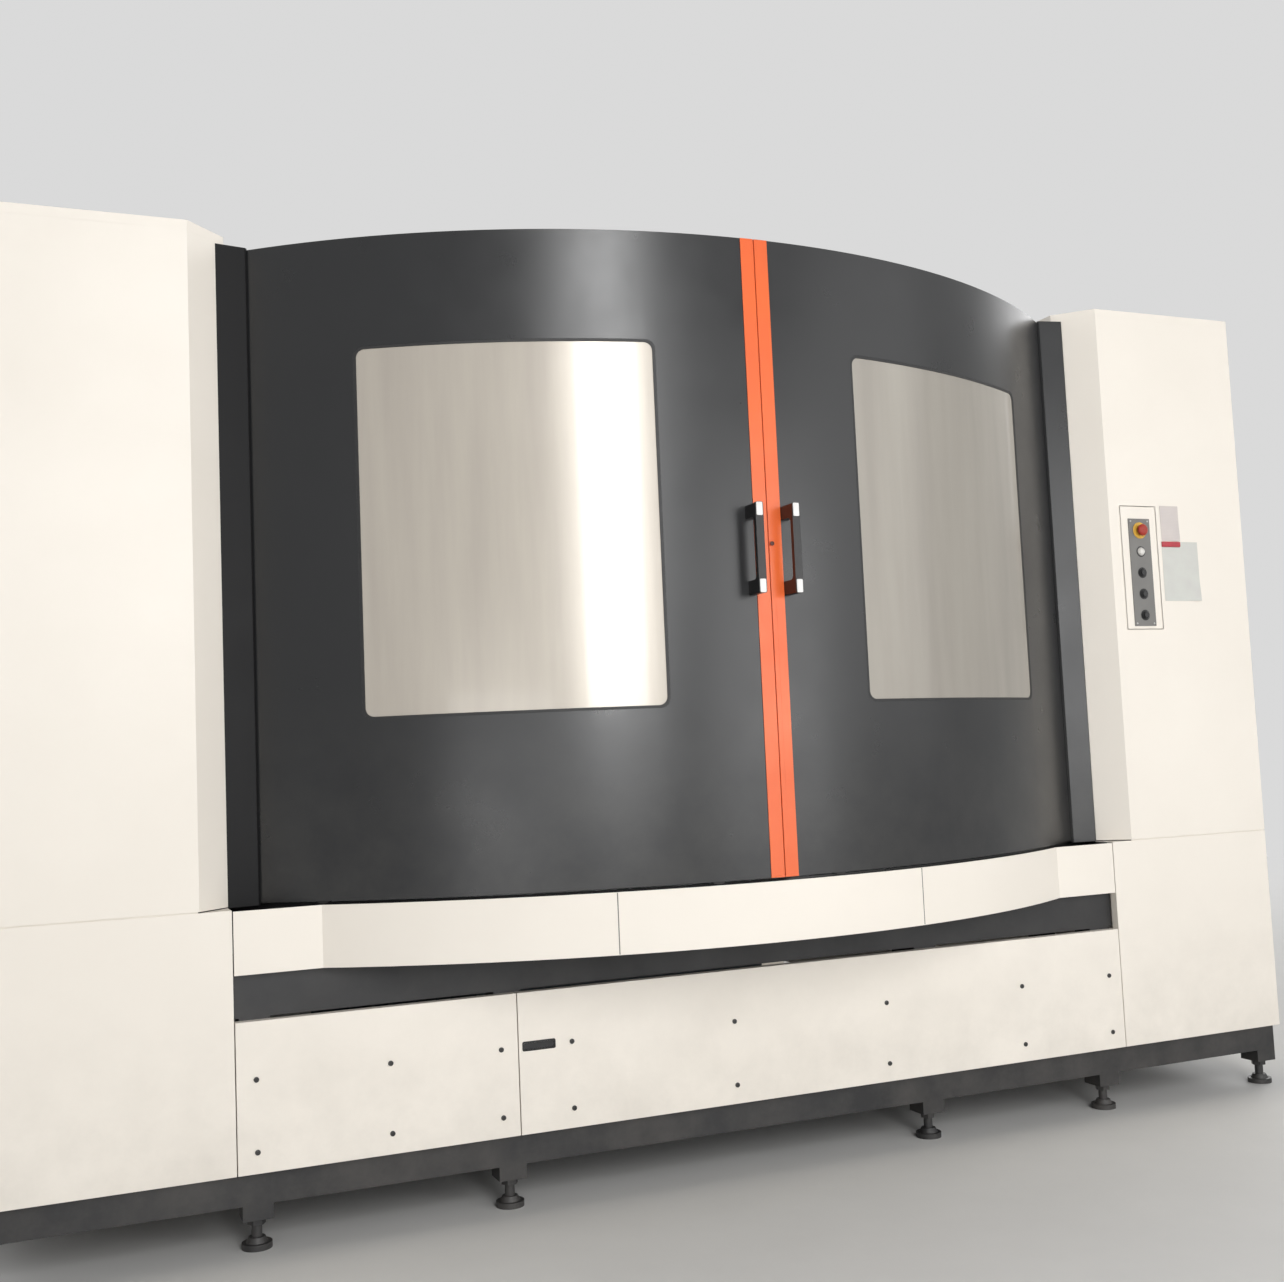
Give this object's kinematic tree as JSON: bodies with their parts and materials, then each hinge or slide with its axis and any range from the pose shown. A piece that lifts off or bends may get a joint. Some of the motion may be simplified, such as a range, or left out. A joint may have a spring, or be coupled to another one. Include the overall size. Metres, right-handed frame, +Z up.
{
  "type": "cnc machining center",
  "caption": "Horizontal machining centre with a rotary pallet changer behind curved sliding doors, white columns, tool magazine, chip conveyor and tank.",
  "frame": {"origin": "bottom centre of the bounding box, on the floor", "axes": "+Z up, +Y to the back, the curved doors face -Y"},
  "size_m": [4.28, 5.1336, 2.762],
  "materials": {
    "warm_white_enamel": "fine powder coat, satin",
    "charcoal_enamel": "satin, soft vertical sheen",
    "pane": "reflective laminated safety pane",
    "black_rubber": "matte",
    "orange_trim": "satin",
    "black_plastic": "fine grain",
    "black_frame": "matte",
    "castings": "painted casting",
    "machined_steel": "ground and turned",
    "lining_steel": "brushed sheet",
    "aluminium_panel": "brushed",
    "strip_grey": "satin",
    "stop_yellow": "smooth",
    "stop_red": "smooth",
    "lamp_white": "translucent cap",
    "fork_yellow": "worn enamel",
    "grey_enamel": "satin"
  },
  "bodies": {
    "machine": {"bed": "castings", "levelling_feet": "black_frame", "front_frame": "black_frame", "left_column_cover": "warm_white_enamel", "right_column_cover": "warm_white_enamel", "roof_panels": "warm_white_enamel", "door_frame": "black_frame", "front_apron": "warm_white_enamel", "skirt_panels": "warm_white_enamel", "station_lining": "lining_steel", "bulkhead": "aluminium_panel", "machine_covers": "warm_white_enamel", "electrical_cabinet": "warm_white_enamel", "changer_base": "castings", "feed_motors": "black_frame", "magazine_frame": "castings", "chip_conveyor": "grey_enamel", "coolant_tank": "grey_enamel", "button_plate": "strip_grey", "button_bezels": "black_plastic", "stop_collar": "stop_yellow", "station_lamp": "lamp_white", "magazine_window": "pane"},
    "left_door": {"left_door_leaf": "charcoal_enamel", "left_window_seal": "black_rubber", "left_window": "pane", "left_edge_trim": "orange_trim", "left_handle": "black_plastic"},
    "left_inner_roller": {"left_inner_roller": "machined_steel"},
    "left_outer_roller": {"left_outer_roller": "machined_steel"},
    "right_door": {"right_door_leaf": "charcoal_enamel", "right_window_seal": "black_rubber", "right_window": "pane", "right_edge_trim": "orange_trim", "right_handle": "black_plastic"},
    "right_inner_roller": {"right_inner_roller": "machined_steel"},
    "right_outer_roller": {"right_outer_roller": "machined_steel"},
    "changer_lift": {"changer_column": "machined_steel"},
    "changer_turn": {"changer_fork": "fork_yellow", "changer_partition": "aluminium_panel", "pallets": "machined_steel"},
    "saddle": {"table_saddle": "castings"},
    "table": {"rotary_table": "machined_steel"},
    "column": {"machine_column": "grey_enamel"},
    "head": {"spindle_head": "grey_enamel"},
    "spindle": {"spindle": "machined_steel"},
    "x_screw": {"x_screw": "machined_steel"},
    "y_screw": {"y_screw": "machined_steel"},
    "z_screw": {"z_screw": "machined_steel"},
    "disc": {"magazine_disc": "castings"},
    "arm_slide": {"arm_shaft": "machined_steel"},
    "arm": {"exchange_arm": "castings"},
    "cabinet_door": {"cabinet_door": "warm_white_enamel"},
    "side_door": {"side_door": "charcoal_enamel"},
    "control_panel": {"control_panel": "charcoal_enamel"},
    "stop_press": {"stop_stem": "machined_steel"},
    "stop_twist": {"stop_head": "stop_red"},
    "upper_button": {"upper_button": "black_plastic"},
    "middle_button": {"middle_button": "black_plastic"},
    "lower_button": {"lower_button": "black_plastic"}
  },
  "joints": [
    {"name": "left_door_travel", "type": "hinge", "parent": "machine", "child": "left_door", "pos_m": [0, -0.28321, 1.815], "axis": [0, 0, 1], "range_deg": [-33, 0]},
    {"name": "right_door_travel", "type": "hinge", "parent": "machine", "child": "right_door", "pos_m": [0, -0.28321, 1.815], "axis": [0, 0, 1], "range_deg": [0, 33]},
    {"name": "left_inner_roller_turn", "type": "hinge", "parent": "left_door", "child": "left_inner_roller", "pos_m": [-0.19087, -2.46488, 0.9253], "axis": [-0.0872, -0.9962, 0], "continuous": true},
    {"name": "left_outer_roller_turn", "type": "hinge", "parent": "left_door", "child": "left_outer_roller", "pos_m": [-1.20874, -2.10942, 0.9253], "axis": [-0.5519, -0.8339, 0], "continuous": true},
    {"name": "right_inner_roller_turn", "type": "hinge", "parent": "right_door", "child": "right_inner_roller", "pos_m": [0.19087, -2.46488, 0.9253], "axis": [0.0872, -0.9962, 0], "continuous": true},
    {"name": "right_outer_roller_turn", "type": "hinge", "parent": "right_door", "child": "right_outer_roller", "pos_m": [1.20874, -2.10942, 0.9253], "axis": [0.5519, -0.8339, 0], "continuous": true},
    {"name": "changer_raise", "type": "slide", "parent": "machine", "child": "changer_lift", "axis": [0, 0, 1], "range_m": [-0.04, 0]},
    {"name": "changer_turn", "type": "hinge", "parent": "changer_lift", "child": "changer_turn", "pos_m": [0, -1.03321, 1.1], "axis": [0, 0, 1], "range_deg": [0, 180]},
    {"name": "z_feed", "type": "slide", "parent": "machine", "child": "saddle", "axis": [0, 1, 0], "range_m": [0, 0.6]},
    {"name": "b_axis", "type": "hinge", "parent": "saddle", "child": "table", "pos_m": [0, -0.18321, 0.98], "axis": [0, 0, 1], "continuous": true},
    {"name": "x_feed", "type": "slide", "parent": "machine", "child": "column", "axis": [1, 0, 0], "range_m": [-0.4, 0.4]},
    {"name": "y_feed", "type": "slide", "parent": "column", "child": "head", "axis": [0, 0, 1], "range_m": [-0.3, 0.5]},
    {"name": "spindle_turn", "type": "hinge", "parent": "head", "child": "spindle", "pos_m": [0, 0.96679, 1.65], "axis": [0, 1, 0], "continuous": true},
    {"name": "x_screw_turn", "type": "hinge", "parent": "machine", "child": "x_screw", "pos_m": [0, 1.57679, 0.69], "axis": [1, 0, 0], "continuous": true},
    {"name": "z_screw_turn", "type": "hinge", "parent": "machine", "child": "z_screw", "pos_m": [0, 0.16679, 0.69], "axis": [0, 1, 0], "continuous": true},
    {"name": "y_screw_turn", "type": "hinge", "parent": "column", "child": "y_screw", "pos_m": [0, 1.28679, 1.7], "axis": [0, 0, 1], "continuous": true},
    {"name": "disc_turn", "type": "hinge", "parent": "machine", "child": "disc", "pos_m": [-1.6, 0.99679, 1.65], "axis": [0, 1, 0], "continuous": true},
    {"name": "arm_reach", "type": "slide", "parent": "machine", "child": "arm_slide", "axis": [0, -1, 0], "range_m": [0, 0.12]},
    {"name": "arm_turn", "type": "hinge", "parent": "arm_slide", "child": "arm", "pos_m": [-0.8, 0.89979, 1.65], "axis": [0, 1, 0], "range_deg": [0, 180]},
    {"name": "cabinet_door_swing", "type": "hinge", "parent": "machine", "child": "cabinet_door", "pos_m": [2.0663, 1.43879, 1.25], "axis": [0, 0, 1], "range_deg": [-110, 0]},
    {"name": "side_door_travel", "type": "slide", "parent": "machine", "child": "side_door", "axis": [0, 1, 0], "range_m": [0, 0.8]},
    {"name": "control_panel_swing", "type": "hinge", "parent": "machine", "child": "control_panel", "pos_m": [1.77, -0.77321, 1.5], "axis": [0, 0, 1], "range_deg": [-90, 0]},
    {"name": "stop_press", "type": "slide", "parent": "machine", "child": "stop_press", "axis": [0, 1, 0], "range_m": [0, 0.005]},
    {"name": "stop_twist", "type": "hinge", "parent": "stop_press", "child": "stop_twist", "pos_m": [1.665, -2.15121, 1.971], "axis": [0, 1, 0], "range_deg": [0, 45]},
    {"name": "upper_press", "type": "slide", "parent": "machine", "child": "upper_button", "axis": [0, 1, 0], "range_m": [0, 0.004], "stiffness_N_per_m": 400},
    {"name": "middle_press", "type": "slide", "parent": "machine", "child": "middle_button", "axis": [0, 1, 0], "range_m": [0, 0.004], "stiffness_N_per_m": 400},
    {"name": "lower_press", "type": "slide", "parent": "machine", "child": "lower_button", "axis": [0, 1, 0], "range_m": [0, 0.004], "stiffness_N_per_m": 400}
  ],
  "couplings": [
    {"joint": "left_inner_roller_turn", "follows": "left_door_travel", "ratio": -73},
    {"joint": "left_outer_roller_turn", "follows": "left_door_travel", "ratio": -73},
    {"joint": "right_inner_roller_turn", "follows": "right_door_travel", "ratio": -73},
    {"joint": "right_outer_roller_turn", "follows": "right_door_travel", "ratio": -73},
    {"joint": "x_screw_turn", "follows": "x_feed", "rad_per_m": 314.16},
    {"joint": "y_screw_turn", "follows": "y_feed", "rad_per_m": 314.16},
    {"joint": "z_screw_turn", "follows": "z_feed", "rad_per_m": 314.16}
  ]
}
